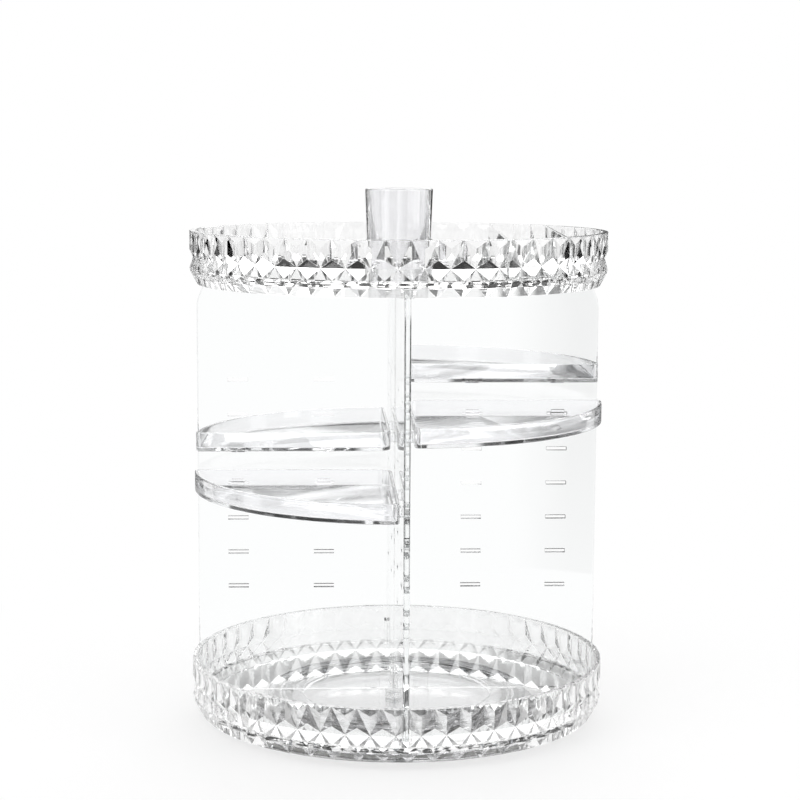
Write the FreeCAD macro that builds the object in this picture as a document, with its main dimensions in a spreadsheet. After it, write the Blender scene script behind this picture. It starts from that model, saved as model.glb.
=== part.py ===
import FreeCAD, Part
import math
import os
import Sketcher

# A round, clear make-up carousel. A turntable foot carries a bottom tray on a ring of balls. Four slotted
# panels stand on that tray in a cross and carry a top tray. Four fan-shaped trays hook into the slots of
# the panels, one in each quarter, and a brush cup and a lipstick rack stand in the top tray.
#
# Frame: +Z up, the origin on the table under the centre of the foot, the front panel along -Y.
# Lengths are in millimetres, angles in degrees.

# ---------------------------------------------------------------------------------------------------
# Driving dimensions

SIZES = (
    # diamond-cut rim, shared by both round trays
    ("rim_radius", 142.0, "outer radius at the ridges of the rim"),
    ("rim_height", 36.0, "height of the rim"),
    ("rim_cells", 54, "diamonds round the rim"),
    ("rim_relief", 2.2, "depth of the valleys between the ridges, at the stars"),
    ("crown_relief", 1.4, "depth of the valleys at their tops"),
    ("rim_phase", 0.7, "turn of the diamonds about the axis"),
    ("rim_wall", 4.0, "ridges to inner wall"),
    ("rim_taper", 5.0, "how far the lower edge draws in"),
    ("skirt_wall", 3.4, "wall below the floor, at the lower edge"),
    ("crown_drop", 5.4, "depth of the row of triangles along the upper edge"),
    ("star_drop", 18.0, "upper edge down to the centres of the stars"),
    ("band_height", 10.8, "top of the plain band above the lower edge"),
    ("band_width", 2.4, "width of the plain band"),
    ("toe_height", 3.6, "height of the triangles along the lower edge"),
    # round tray floor
    ("floor_rise", 10.0, "upper face of the floor above the rim's lower edge"),
    ("floor_thickness", 3.0, "floor of a round tray"),
    # panels
    ("panel_thickness", 4.2, "thickness of a panel"),
    ("panel_edge_gap", 0.4, "panel to the inner wall of the rim"),
    ("panel_core_gap", 0.25, "panel to the next panels at the axis"),
    ("panel_neck_gap", 0.8, "panel's neck to the skirt of the top tray"),
    ("neck_drop", 8.0, "height of the narrow neck inside the top tray"),
    ("shoulder_drop", 12.0, "height over which the panel draws in to its neck"),
    ("shoulder_radius", 20.0, "rounding where the panel starts to draw in"),
    ("seat_gap", 0.1, "panel's top edge to the floor of the top tray"),
    ("slot_length", 14.0, "length of a slot"),
    ("slot_height", 2.4, "height of a slot"),
    ("slot_rows", 7, "rows of slots"),
    ("slot_pitch", 24.0, "from one row of slots to the next"),
    ("first_slot", 74.0, "lowest slots above the floor of the bottom tray"),
    ("headroom", 66.6, "highest slots to the lower edge of the top tray"),
    ("slot_inset", 27.6, "outer column of slots in from the panel's edge"),
    ("slot_spacing", 59.0, "from the outer column of slots to the inner one"),
    # moulded sockets for the panels
    ("socket_gap", 0.2, "socket rib to the face of a panel"),
    ("socket_wall", 1.8, "thickness of a socket rib"),
    ("socket_length", 10.0, "length of a socket rib"),
    ("socket_height", 18.0, "height of a socket rib above the floor"),
    ("socket_inset", 4.6, "outer socket in from the panel's edge"),
    ("core_socket_start", 12.0, "inner socket, from the axis"),
    ("hanger_gap", 0.3, "rib under the top tray to the face of a panel"),
    ("hanger_depth", 6.0, "depth of the ribs under the top tray"),
    ("hanger_length", 25.0, "length of the ribs under the top tray"),
    # fan trays
    ("fan_inset", 2.5, "rim of a fan tray in from the round rims"),
    ("fan_height", 13.0, "height of a fan tray"),
    ("fan_wall", 2.2, "walls and floor of a fan tray"),
    ("fan_gap", 2.5, "side of a fan tray to the face of its panel"),
    ("fan_drop", 2.5, "middle of the slot above the underside of a fan tray"),
    ("fan_heart", 10.0, "rounding of the corner of a fan tray next to the axis"),
    ("fan_corner", 4.0, "rounding of its two outer corners"),
    ("fan_keel", 1.2, "rounding round the underside of a fan tray"),
    ("tongue_width", 9.0, "width of a tongue"),
    ("tongue_thickness", 1.8, "thickness of a tongue"),
    ("tongue_reach", 1.7, "how far a tongue enters a slot"),
    ("shoulder_height", 6.0, "height of the block that carries a tongue"),
    ("shoulder_gap", 0.3, "block of a tongue to the face of its panel"),
    # brush cup
    ("cup_top_radius", 23.0, "outer radius of the brush cup at its mouth"),
    ("cup_foot_radius", 21.0, "outer radius of the brush cup at its foot"),
    ("cup_height", 54.0, "height of the brush cup"),
    ("cup_wall", 2.0, "wall of the brush cup"),
    ("cup_floor", 3.0, "floor of the brush cup"),
    # lipstick rack
    ("rack_inset", 30.8, "outer wall of the rack in from the inner wall of the rim"),
    ("rack_width", 39.7, "from one wall of the rack to the other"),
    ("rack_wall", 1.8, "walls and floor of the rack"),
    ("rack_gap", 0.6, "ends of the rack to the rim"),
    ("rack_sink", 0.4, "top of the rack below the rim's upper edge"),
    ("rack_turn", -2.5, "turn of the rack about the axis"),
    # anything that stands on a floor
    ("rest_gap", 0.05, "foot of a loose piece to the floor under it"),
    # turntable
    ("pad_radius", 6.0, "radius of an anti-slip pad"),
    ("pad_count", 4, "anti-slip pads"),
    ("pad_proud", 1.2, "how far a pad stands below the foot"),
    ("pad_recess", 0.8, "how far a pad sits in the foot"),
    ("pad_gap", 0.1, "pad to the wall of its recess"),
    ("pad_inset", 11.0, "pads in from the edge of the foot"),
    ("base_thickness", 3.2, "thickness of the foot"),
    ("base_margin", 18.0, "edge of the foot outside the ring of balls"),
    ("ball_radius", 2.5, "radius of a ball"),
    ("ball_ring", 80.0, "radius of the ring of balls"),
    ("ball_count", 20, "balls"),
    ("race_depth", 1.1, "depth of each race"),
    ("race_gap", 0.15, "ball to each race"),
    ("cage_width", 12.0, "width of the ball cage"),
    ("cage_thickness", 1.6, "thickness of the ball cage"),
    ("cage_play", 0.15, "ball to its hole in the cage"),
    ("race_inner_margin", 14.0, "upper race, inside the ring of balls"),
    ("race_outer_margin", 10.0, "upper race, outside the ring of balls"),
    ("race_thickness", 5.5, "thickness of the upper race"),
    ("ring_screw_count", 4, "screws that hold the upper race"),
    ("ring_screw_inset", 5.2, "screws in from the inner edge of the upper race"),
    ("ring_screw_radius", 1.25, "radius of the shank of those screws"),
    ("ring_screw_head", 2.8, "radius of the head of those screws"),
    ("ring_screw_head_height", 1.8, "height of the head of those screws"),
    ("ring_screw_play", 0.2, "shank of those screws to their holes in the race"),
    ("ring_screw_head_gap", 0.4, "head of those screws to the wall of its seat"),
    ("ring_screw_sink", 0.3, "head of those screws below the face of the race"),
    ("ring_screw_bite", 2.2, "how far those screws go into the floor"),
    ("pivot_radius", 2.0, "radius of the pivot screw"),
    ("pivot_play", 0.08, "pivot screw to its bore in the foot"),
    ("pivot_head", 4.6, "radius of the head of the pivot screw"),
    ("pivot_head_height", 1.6, "height of the head of the pivot screw"),
    ("pivot_bite", 5.0, "how far the pivot screw goes into the bottom tray"),
    ("pivot_pocket", 2.8, "depth of the pocket for the head in the foot"),
    ("pivot_pocket_gap", 1.4, "head of the pivot screw to the wall of its pocket"),
    ("washer_thickness", 0.6, "thickness of the pivot washer"),
    ("boss_radius", 8.0, "radius of the bosses on the axis"),
    ("boss_gap", 0.3, "boss of the foot to the boss of the bottom tray"),
    ("tray_boss_depth", 3.7, "depth of the boss under the bottom tray"),
    ("thread_gap", 0.02, "screw thread to its hole"),
)

# Places worked out from the driving dimensions, all heights above the table
PLACES = (
    ("base_under", "Sizes.pad_proud"),
    ("base_top", "Places.base_under + Sizes.base_thickness"),
    ("ball_level", "Places.base_top - Sizes.race_depth + Sizes.race_gap + Sizes.ball_radius"),
    ("race_under", "Places.ball_level + Sizes.ball_radius + Sizes.race_gap - Sizes.race_depth"),
    ("floor_under", "Places.race_under + Sizes.race_thickness"),
    ("floor_top", "Places.floor_under + Sizes.floor_thickness"),
    ("rim_under", "Places.floor_top - Sizes.floor_rise"),
    ("rim_inner", "Sizes.rim_radius - Sizes.rim_wall"),
    ("skirt_inner", "Sizes.rim_radius - Sizes.rim_taper - Sizes.skirt_wall"),
    ("first_row", "Places.floor_top + Sizes.first_slot"),
    ("last_row", "Places.first_row + (Sizes.slot_rows - 1) * Sizes.slot_pitch"),
    ("upper_rim_under", "Places.last_row + Sizes.headroom"),
    ("upper_floor_top", "Places.upper_rim_under + Sizes.floor_rise"),
    ("upper_floor_under", "Places.upper_floor_top - Sizes.floor_thickness"),
    ("half_panel", "Sizes.panel_thickness / 2"),
    ("panel_start", "Places.half_panel + Sizes.panel_core_gap"),
    ("panel_edge", "Places.rim_inner - Sizes.panel_edge_gap"),
    ("neck_edge", "Places.skirt_inner - Sizes.panel_neck_gap"),
    ("panel_height", "Places.upper_floor_under - Sizes.seat_gap - Places.floor_top"),
    ("outer_slot", "Places.panel_edge - Sizes.slot_inset"),
    ("inner_slot", "Places.outer_slot - Sizes.slot_spacing"),
    ("fan_radius", "Sizes.rim_radius - Sizes.fan_inset"),
    ("fan_side", "Places.half_panel + Sizes.fan_gap"),
    ("base_radius", "Sizes.ball_ring + Sizes.base_margin"),
    ("pad_ring", "Places.base_radius - Sizes.pad_inset"),
    ("race_inner", "Sizes.ball_ring - Sizes.race_inner_margin"),
    ("race_outer", "Sizes.ball_ring + Sizes.race_outer_margin"),
    ("screw_ring", "Places.race_inner + Sizes.ring_screw_inset"),
    ("tray_boss_under", "Places.floor_under - Sizes.tray_boss_depth"),
    ("base_boss_top", "Places.tray_boss_under - Sizes.boss_gap"),
    ("pivot_pocket_top", "Places.base_under + Sizes.pivot_pocket"),
    ("rack_outer", "Places.rim_inner - Sizes.rack_inset"),
    ("rack_inner", "Places.rack_outer - Sizes.rack_width"),
    ("rack_height", "Sizes.rim_height - Sizes.floor_rise - Sizes.rack_sink - Sizes.rest_gap"),
)

# Each panel and each fan tray: its name and its quarter turn about the axis. A fan tray at turn 0 lies
# between +X and +Y, and its slot row is counted down from the highest one.
PANELS = (("right_panel", 0), ("back_panel", 1), ("left_panel", 2), ("front_panel", 3))
FAN_TRAYS = (
    ("back_right_tray", 0, 0),
    ("back_left_tray", 1, 2),
    ("front_left_tray", 2, 3),
    ("front_right_tray", 3, 1),
)

Z_AXIS = FreeCAD.Vector(0, 0, 1)
doc = FreeCAD.newDocument("MakeupCarousel")


# ---------------------------------------------------------------------------------------------------
# Sheets and small helpers

def make_sheet(name, rows, prefix=""):
    """Fill a spreadsheet with one named cell a row."""
    sheet = doc.addObject("Spreadsheet::Sheet", name)
    for number, row in enumerate(rows, start=1):
        cell = "B%d" % number
        sheet.set("A%d" % number, row[0])
        sheet.set(cell, prefix + str(row[1]))
        sheet.setAlias(cell, row[0])
        if len(row) > 2:
            sheet.set("C%d" % number, row[2])
    doc.recompute()
    return sheet


def bind(thing, **formulas):
    """Tie properties of an object to formulas of the sheets."""
    for name, formula in formulas.items():
        thing.setExpression(name, formula)
    return thing


def put(thing, x="0", y="0", z="0"):
    """Tie the place of an object to formulas of the sheets."""
    for axis, formula in (("x", x), ("y", y), ("z", z)):
        if formula != "0":
            thing.setExpression("Placement.Base." + axis, formula)
    return thing


def turn(thing, degrees):
    """Turn an object about the vertical axis."""
    thing.Placement = FreeCAD.Placement(FreeCAD.Vector(), FreeCAD.Rotation(Z_AXIS, degrees))
    return thing


def cylinder(name, radius, height, z="0", x="0", y="0"):
    solid = doc.addObject("Part::Cylinder", name)
    bind(solid, Radius=radius, Height=height)
    return put(solid, x, y, z)


def box(name, quarter, low, size):
    """A box with its low corner and size given before a number of quarter turns about the axis."""
    solid = turn(doc.addObject("Part::Box", name), 90 * quarter)
    bind(solid, Length=size[0], Width=size[1], Height=size[2])
    along, across = ((1, 0), (0, 1), (-1, 0), (0, -1))[quarter]
    x = "%d * (%s) - %d * (%s)" % (along, low[0], across, low[1])
    y = "%d * (%s) + %d * (%s)" % (across, low[0], along, low[1])
    return put(solid, x, y, low[2])


def fuse(name, parts):
    solid = doc.addObject("Part::MultiFuse", name)
    solid.Shapes = parts
    return solid


def cut(name, base, tool):
    solid = doc.addObject("Part::Cut", name)
    solid.Base = base
    solid.Tool = tool
    return solid


def polar(radius, degrees):
    """The x and y formulas of a point at a radius formula and an angle."""
    return "(%s) * cos(%g deg)" % (radius, degrees), "(%s) * sin(%g deg)" % (radius, degrees)


def plane(body, role):
    return [part for part in body.Origin.OriginFeatures if part.Role == role][0]


def sketch_on(body, role, name):
    sketch = body.newObject("Sketcher::SketchObject", name)
    sketch.AttachmentSupport = [(plane(body, role), "")]
    sketch.MapMode = "FlatFace"
    return sketch


def place_point(sketch, line, end, x, y):
    """Dimension one end of a line from the sketch's origin."""
    for kind, formula in (("DistanceX", x), ("DistanceY", y)):
        if formula == "0":
            other = "PointOnObject"
            axis = -2 if kind == "DistanceX" else -1
            sketch.addConstraint(Sketcher.Constraint(other, line, end, axis))
        else:
            number = sketch.addConstraint(Sketcher.Constraint(kind, -1, 1, line, end, 1.0 + line))
            sketch.setExpression("Constraints[%d]" % number, formula)


def outline(body, role, name, points):
    """A closed outline of straight lines, each corner dimensioned from the origin."""
    sketch = sketch_on(body, role, name)
    count = len(points)
    for index in range(count):
        start = FreeCAD.Vector(math.cos(index), math.sin(index), 0)
        finish = FreeCAD.Vector(math.cos(index + 1), math.sin(index + 1), 0)
        sketch.addGeometry(Part.LineSegment(start, finish), False)
    for index in range(count):
        sketch.addConstraint(Sketcher.Constraint("Coincident", index, 2, (index + 1) % count, 1))
    for index, (x, y) in enumerate(points):
        place_point(sketch, index, 1, x, y)
    return sketch


def circle(body, role, name, radius, x="0", y="0"):
    """One circle, its centre dimensioned from the origin."""
    sketch = sketch_on(body, role, name)
    sketch.addGeometry(Part.Circle(FreeCAD.Vector(1, 1, 0), Z_AXIS, 1.0), False)
    number = sketch.addConstraint(Sketcher.Constraint("Radius", 0, 1.0))
    sketch.setExpression("Constraints[%d]" % number, radius)
    place_point(sketch, 0, 3, x, y)
    return sketch


def revolve(body, sketch, kind="Revolution"):
    """Turn a sketch on the XZ plane round the vertical axis, adding or (Groove) cutting."""
    feature = body.newObject("PartDesign::" + kind, sketch.Name + "_" + kind.lower())
    feature.Profile = sketch
    feature.ReferenceAxis = (sketch, ["V_Axis"])
    feature.Angle = 360.0
    sketch.Visibility = False
    return feature


def pocket(body, sketch, depth, upward=True):
    """Cut a sketch on the XY plane into the body, upward from the plane."""
    feature = body.newObject("PartDesign::Pocket", sketch.Name + "_pocket")
    feature.Profile = sketch
    feature.setExpression("Length", depth)
    feature.Reversed = upward
    return feature


def ring_pattern(body, name, features, count):
    """Repeat features round the vertical axis."""
    doc.recompute()
    pattern = body.newObject("PartDesign::PolarPattern", name)
    pattern.Originals = features
    pattern.Axis = (plane(body, "Z_Axis"), [""])
    pattern.Angle = 360.0
    pattern.setExpression("Occurrences", "round(%s)" % count)
    body.Tip = pattern
    return pattern


def new_body(label):
    body = doc.addObject("PartDesign::Body", label)
    body.Label = label
    return body


def round_edges(body, name, base, wanted, radius):
    """Fillet the edges of a feature that the test picks out."""
    doc.recompute()
    names = ["Edge%d" % number for number, edge in enumerate(base.Shape.Edges, start=1) if wanted(edge)]
    fillet = body.newObject("PartDesign::Fillet", name)
    fillet.Base = (base, names)
    fillet.setExpression("Radius", radius)
    doc.recompute()
    return fillet


def hide_in(label, solid):
    """Give a finished sub-part the name that it is known by."""
    solid.Label = label
    return solid


# ---------------------------------------------------------------------------------------------------
# Diamond-cut round trays

def diamond_drum(sizes):
    """A closed drum whose side is the diamond-cut rim.

    Ridges run down the middle of each cell and valleys between cells. Triangles along the upper edge lean
    in to the tops of the valleys, long narrow facets run down from there to stars of ten facets that meet
    in the valleys, a plain band runs below them and a row of pleats draws in to the lower edge.
    """
    cells = int(round(sizes.rim_cells))
    ridge = sizes.rim_radius
    valley = ridge - sizes.rim_relief
    half_relief = sizes.rim_relief / 2
    foot = ridge - sizes.rim_taper
    top = sizes.rim_height
    star = top - sizes.star_drop
    band_top = sizes.band_height
    band_foot = band_top - sizes.band_width
    toe = foot + (valley - foot) * sizes.toe_height / band_foot

    def ring(step, radius, height):
        points = []
        for cell in range(cells):
            angle = math.radians(sizes.rim_phase) + 2 * math.pi * (cell + step) / cells
            points.append(FreeCAD.Vector(radius * math.cos(angle), radius * math.sin(angle), height))
        return points

    crest = ring(0.5, ridge, top)
    crown = ring(0.0, ridge - sizes.crown_relief, top - sizes.crown_drop)
    peak = ring(0.5, ridge, star + sizes.crown_drop)
    centre = ring(0.0, valley, star)
    keel = ring(0.5, ridge, band_top)
    fore = ring(-0.25, ridge - half_relief, band_top)
    aft = ring(0.25, ridge - half_relief, band_top)
    low_valley = ring(0.0, valley, band_foot)
    low_ridge = ring(0.5, ridge - half_relief / 2, band_foot)
    toe_valley = ring(0.0, toe, sizes.toe_height)
    toe_ridge = ring(0.5, foot, 0.0)

    faces = []

    def facet(*corners):
        faces.append(Part.Face(Part.makePolygon(list(corners) + [corners[0]])))

    for here in range(cells):
        back = here - 1
        ahead = (here + 1) % cells
        facet(crest[back], crest[here], crown[here])
        facet(crown[here], crest[here], centre[here])
        facet(centre[here], crest[here], peak[here])
        facet(crown[ahead], centre[ahead], crest[here])
        facet(centre[ahead], peak[here], crest[here])
        facet(centre[here], peak[here], centre[ahead])
        facet(centre[here], centre[ahead], keel[here])
        facet(centre[here], keel[here], aft[here])
        facet(centre[ahead], keel[here], fore[ahead])
        facet(centre[here], fore[here], aft[here])
        facet(fore[here], aft[here], low_valley[here])
        facet(aft[here], keel[here], low_ridge[here])
        facet(aft[here], low_ridge[here], low_valley[here])
        facet(fore[ahead], keel[here], low_ridge[here])
        facet(fore[ahead], low_ridge[here], low_valley[ahead])
        facet(low_valley[here], low_ridge[here], toe_valley[here])
        facet(low_ridge[here], toe_ridge[here], toe_valley[here])
        facet(low_valley[ahead], low_ridge[here], toe_valley[ahead])
        facet(low_ridge[here], toe_ridge[here], toe_valley[ahead])
        facet(toe_valley[here], toe_ridge[back], toe_ridge[here])
    facet(*crest)
    facet(*toe_ridge)

    shell = Part.Shell(faces)
    drum = Part.Solid(shell)
    if drum.Volume < 0:
        drum.reverse()
    return drum


def round_tray(name, sizes, z):
    """A diamond-cut rim with a floor across it, open above and recessed below."""
    drum = doc.addObject("Part::Feature", name + "_drum")
    drum.Shape = diamond_drum(sizes)
    put(drum, z=z)
    bowl = cylinder(name + "_bowl", "Places.rim_inner", "Sizes.rim_height", z + " + Sizes.floor_rise")
    recess = cylinder(
        name + "_recess",
        "Places.skirt_inner",
        "2 * (Sizes.floor_rise - Sizes.floor_thickness)",
        z + " - (Sizes.floor_rise - Sizes.floor_thickness)",
    )
    return cut(name + "_ring", drum, fuse(name + "_hollows", [bowl, recess]))


def socket_ribs(name, start, length, z, height, gap):
    """Pairs of ribs that stand either side of each panel, from one radius outwards."""
    ribs = []
    size = (length, "Sizes.socket_wall", height)
    near = "Places.half_panel + " + gap
    for quarter in range(4):
        for side, across in (("a", near), ("b", "-(%s) - Sizes.socket_wall" % near)):
            ribs.append(box("%s_%d%s" % (name, quarter, side), quarter, (start, across, z), size))
    return ribs


def make_bottom_tray(sizes):
    ring = round_tray("lower", sizes, "Places.rim_under")
    outer = socket_ribs(
        "outer_socket",
        "Places.panel_edge - Sizes.socket_inset - Sizes.socket_length",
        "Sizes.socket_length",
        "Places.floor_top - Sizes.floor_thickness / 2",
        "Sizes.socket_height + Sizes.floor_thickness / 2",
        "Sizes.socket_gap",
    )
    inner = socket_ribs(
        "inner_socket",
        "Sizes.core_socket_start",
        "Sizes.socket_length",
        "Places.floor_top - Sizes.floor_thickness / 2",
        "Sizes.socket_height + Sizes.floor_thickness / 2",
        "Sizes.socket_gap",
    )
    boss = cylinder(
        "tray_boss",
        "Sizes.boss_radius",
        "Sizes.tray_boss_depth + Sizes.floor_thickness / 2",
        "Places.tray_boss_under",
    )
    holes = [
        cylinder(
            "pivot_hole",
            "Sizes.pivot_radius + Sizes.thread_gap",
            "2 * (Sizes.pivot_bite + Sizes.thread_gap)",
            "Places.tray_boss_under - (Sizes.pivot_bite + Sizes.thread_gap)",
        )
    ]
    count = int(round(sizes.ring_screw_count))
    for index in range(count):
        x, y = polar("Places.screw_ring", 45 + 360 * index / count)
        holes.append(
            cylinder(
                "ring_hole_%d" % index,
                "Sizes.ring_screw_radius + Sizes.thread_gap",
                "2 * (Sizes.ring_screw_bite + Sizes.thread_gap)",
                "Places.floor_under - (Sizes.ring_screw_bite + Sizes.thread_gap)",
                x,
                y,
            )
        )
    solid = fuse("lower_solid", [ring] + outer + inner + [boss])
    hide_in("bottom_tray", cut("bottom_tray", solid, fuse("lower_holes", holes)))


def make_top_tray(sizes):
    ring = round_tray("upper", sizes, "Places.upper_rim_under")
    hangers = socket_ribs(
        "hanger",
        "Places.neck_edge - Sizes.socket_inset - Sizes.hanger_length",
        "Sizes.hanger_length",
        "Places.upper_floor_under - Sizes.hanger_depth",
        "Sizes.hanger_depth + Sizes.floor_thickness / 2",
        "Sizes.hanger_gap",
    )
    hide_in("top_tray", fuse("top_tray", [ring] + hangers))


# ---------------------------------------------------------------------------------------------------
# Panels and fan trays

def make_panel(label, quarter):
    """An upright plate with two columns of slots, narrower where it enters the top tray."""
    body = new_body(label)
    neck_top = "Places.panel_height"
    neck_foot = "Places.panel_height - Sizes.neck_drop"
    points = (
        ("Places.panel_start", "0"),
        ("Places.panel_edge", "0"),
        ("Places.panel_edge", neck_foot + " - Sizes.shoulder_drop"),
        ("Places.neck_edge", neck_foot),
        ("Places.neck_edge", neck_top),
        ("Places.panel_start", neck_top),
    )
    plate = body.newObject("PartDesign::Pad", label + "_plate")
    plate.Profile = outline(body, "XZ_Plane", label + "_outline", points)
    plate.Midplane = True
    plate.setExpression("Length", "Sizes.panel_thickness")
    edge = doc.Places.panel_edge
    corner = FreeCAD.Vector(edge, 0, doc.Places.panel_height - doc.Sizes.neck_drop - doc.Sizes.shoulder_drop)

    def at_corner(line):
        return line.CenterOfMass.distanceToPoint(corner) < 1e-6

    round_edges(body, label + "_shoulder", plate, at_corner, "Sizes.shoulder_radius")

    half = "Sizes.slot_length / 2"
    low = "Sizes.first_slot - Sizes.slot_height / 2"
    high = "Sizes.first_slot + Sizes.slot_height / 2"
    slots = []
    for column in ("outer", "inner"):
        middle = "Places.%s_slot" % column
        corners = (
            (middle + " - " + half, low),
            (middle + " + " + half, low),
            (middle + " + " + half, high),
            (middle + " - " + half, high),
        )
        sketch = outline(body, "XZ_Plane", "%s_%s_slot" % (label, column), corners)
        slot = body.newObject("PartDesign::Pocket", sketch.Name + "_pocket")
        slot.Profile = sketch
        slot.Midplane = True
        slot.setExpression("Length", "Sizes.panel_thickness * 2")
        slots.append(slot)
    doc.recompute()
    rows = body.newObject("PartDesign::LinearPattern", label + "_rows")
    rows.Originals = slots
    rows.Direction = (plane(body, "Z_Axis"), [""])
    rows.setExpression("Length", "(round(Sizes.slot_rows) - 1) * Sizes.slot_pitch")
    rows.setExpression("Occurrences", "round(Sizes.slot_rows)")
    body.Tip = rows

    turn(body, 90 * quarter)
    put(body, z="Places.floor_top")


def fan_sketch(body, label):
    """A quarter round, one side along each panel."""
    sketch = sketch_on(body, "XY_Plane", label + "_outline")
    radius = doc.Places.fan_radius
    side = doc.Places.fan_side
    far = math.sqrt(radius ** 2 - side ** 2)
    corner = FreeCAD.Vector(side, side, 0)
    right = FreeCAD.Vector(far, side, 0)
    left = FreeCAD.Vector(side, far, 0)
    start = math.asin(side / radius)
    sketch.addGeometry(Part.LineSegment(corner, right), False)
    rim = Part.Circle(FreeCAD.Vector(), Z_AXIS, radius)
    sketch.addGeometry(Part.ArcOfCircle(rim, start, math.pi / 2 - start), False)
    sketch.addGeometry(Part.LineSegment(left, corner), False)
    for first, end, second, begin in ((0, 2, 1, 1), (1, 2, 2, 1), (2, 2, 0, 1), (1, 3, -1, 1)):
        sketch.addConstraint(Sketcher.Constraint("Coincident", first, end, second, begin))
    sketch.addConstraint(Sketcher.Constraint("Horizontal", 0))
    sketch.addConstraint(Sketcher.Constraint("Vertical", 2))
    for constraint, formula in (
        (Sketcher.Constraint("DistanceX", -1, 1, 0, 1, side), "Places.fan_side"),
        (Sketcher.Constraint("DistanceY", -1, 1, 0, 1, side), "Places.fan_side"),
        (Sketcher.Constraint("Radius", 1, radius), "Places.fan_radius"),
    ):
        number = sketch.addConstraint(constraint)
        sketch.setExpression("Constraints[%d]" % number, formula)
    return sketch


def upright(edge):
    return edge.BoundBox.XLength + edge.BoundBox.YLength < 1e-6


def add_box(body, name, low, size):
    """Add a block to a body, its low corner and size given as formulas."""
    block = body.newObject("PartDesign::AdditiveBox", name)
    bind(block, Length=size[0], Width=size[1], Height=size[2])
    block.AttachmentSupport = [(plane(body, "XY_Plane"), "")]
    block.MapMode = "FlatFace"
    for axis, formula in zip("xyz", low):
        block.setExpression("AttachmentOffset.Base." + axis, formula)
    return block


def make_fan_tray(label, quarter, row):
    """A quarter-round tray of one wall thickness, with two tongues on each straight side."""
    body = new_body(label)
    block = body.newObject("PartDesign::Pad", label + "_block")
    block.Profile = fan_sketch(body, label)
    block.setExpression("Length", "Sizes.fan_height")

    def from_axis(edge):
        return math.hypot(edge.CenterOfMass.x, edge.CenterOfMass.y)

    def at_heart(edge):
        return upright(edge) and from_axis(edge) < doc.Places.fan_radius / 2

    def at_rim(edge):
        return upright(edge) and from_axis(edge) > doc.Places.fan_radius - 1e-3

    def underneath(edge):
        return edge.BoundBox.ZMax < 1e-6

    heart = round_edges(body, label + "_heart", block, at_heart, "Sizes.fan_heart")
    corners = round_edges(body, label + "_corners", heart, at_rim, "Sizes.fan_corner")
    tops = [face.CenterOfMass.z for face in corners.Shape.Faces]
    shell = body.newObject("PartDesign::Thickness", label + "_shell")
    shell.Base = (corners, ["Face%d" % (tops.index(max(tops)) + 1)])
    shell.Reversed = True
    shell.setExpression("Value", "Sizes.fan_wall")
    doc.recompute()
    round_edges(body, label + "_keel", shell, underneath, "Sizes.fan_keel")

    width = "Sizes.tongue_width"
    face = "Places.half_panel + Sizes.shoulder_gap"
    root = "Places.fan_side + Sizes.fan_wall / 2"
    tip = "Places.half_panel - Sizes.tongue_reach"
    tongue_low = "Sizes.fan_drop - Sizes.tongue_thickness / 2"
    for column in ("outer", "inner"):
        along = "Places.%s_slot - Sizes.tongue_width / 2" % column
        for piece, start, low, height in (
            ("shoulder", face, "0", "Sizes.shoulder_height"),
            ("tongue", tip, tongue_low, "Sizes.tongue_thickness"),
        ):
            depth = "%s - (%s)" % (root, start)
            name = "%s_%s_%s" % (label, column, piece)
            add_box(body, name + "_x", (along, start, low), (width, depth, height))
            add_box(body, name + "_y", (start, along, low), (depth, width, height))

    turn(body, 90 * quarter)
    put(body, z="Places.last_row - %d * Sizes.slot_pitch - Sizes.fan_drop" % row)


# ---------------------------------------------------------------------------------------------------
# Loose pieces in the top tray

def make_brush_cup():
    body = new_body("brush_cup")
    draft_wall = "Sizes.cup_wall"
    points = (
        ("0", "0"),
        ("Sizes.cup_foot_radius", "0"),
        ("Sizes.cup_top_radius", "Sizes.cup_height"),
        ("Sizes.cup_top_radius - " + draft_wall, "Sizes.cup_height"),
        ("Sizes.cup_foot_radius - " + draft_wall, "Sizes.cup_floor"),
        ("0", "Sizes.cup_floor"),
    )
    body.Tip = revolve(body, outline(body, "XZ_Plane", "cup_profile", points))
    put(body, z="Places.upper_floor_top + Sizes.rest_gap")


def make_lipstick_rack():
    """A channel with two upright walls, its ends cut round to follow the rim."""
    reach = "Places.rim_inner"
    length = "2 * " + reach
    floor = box(
        "rack_floor",
        0,
        ("Places.rack_inner", "-" + reach, "0"),
        ("Sizes.rack_width", length, "Sizes.rack_wall"),
    )
    walls = []
    for name, place in (("rack_inner_wall", "Places.rack_inner"), ("rack_outer_wall", "Places.rack_outer")):
        low = (place + " - Sizes.rack_wall / 2", "-" + reach, "0")
        walls.append(box(name, 0, low, ("Sizes.rack_wall", length, "Places.rack_height")))
    rim = cylinder("rack_ends", "Places.rim_inner - Sizes.rack_gap", "Places.rack_height")
    rack = doc.addObject("Part::Common", "lipstick_rack")
    rack.Base = fuse("rack_channel", [floor] + walls)
    rack.Tool = rim
    turn(rack, doc.Sizes.rack_turn)
    put(rack, z="Places.upper_floor_top + Sizes.rest_gap")
    hide_in("lipstick_rack", rack)


# ---------------------------------------------------------------------------------------------------
# Turntable

def race_groove(body, name, level):
    """A round groove that a ball runs in."""
    radius = "Sizes.ball_radius + Sizes.race_gap"
    return revolve(body, circle(body, "XZ_Plane", name, radius, "Sizes.ball_ring", level), "Groove")


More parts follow.
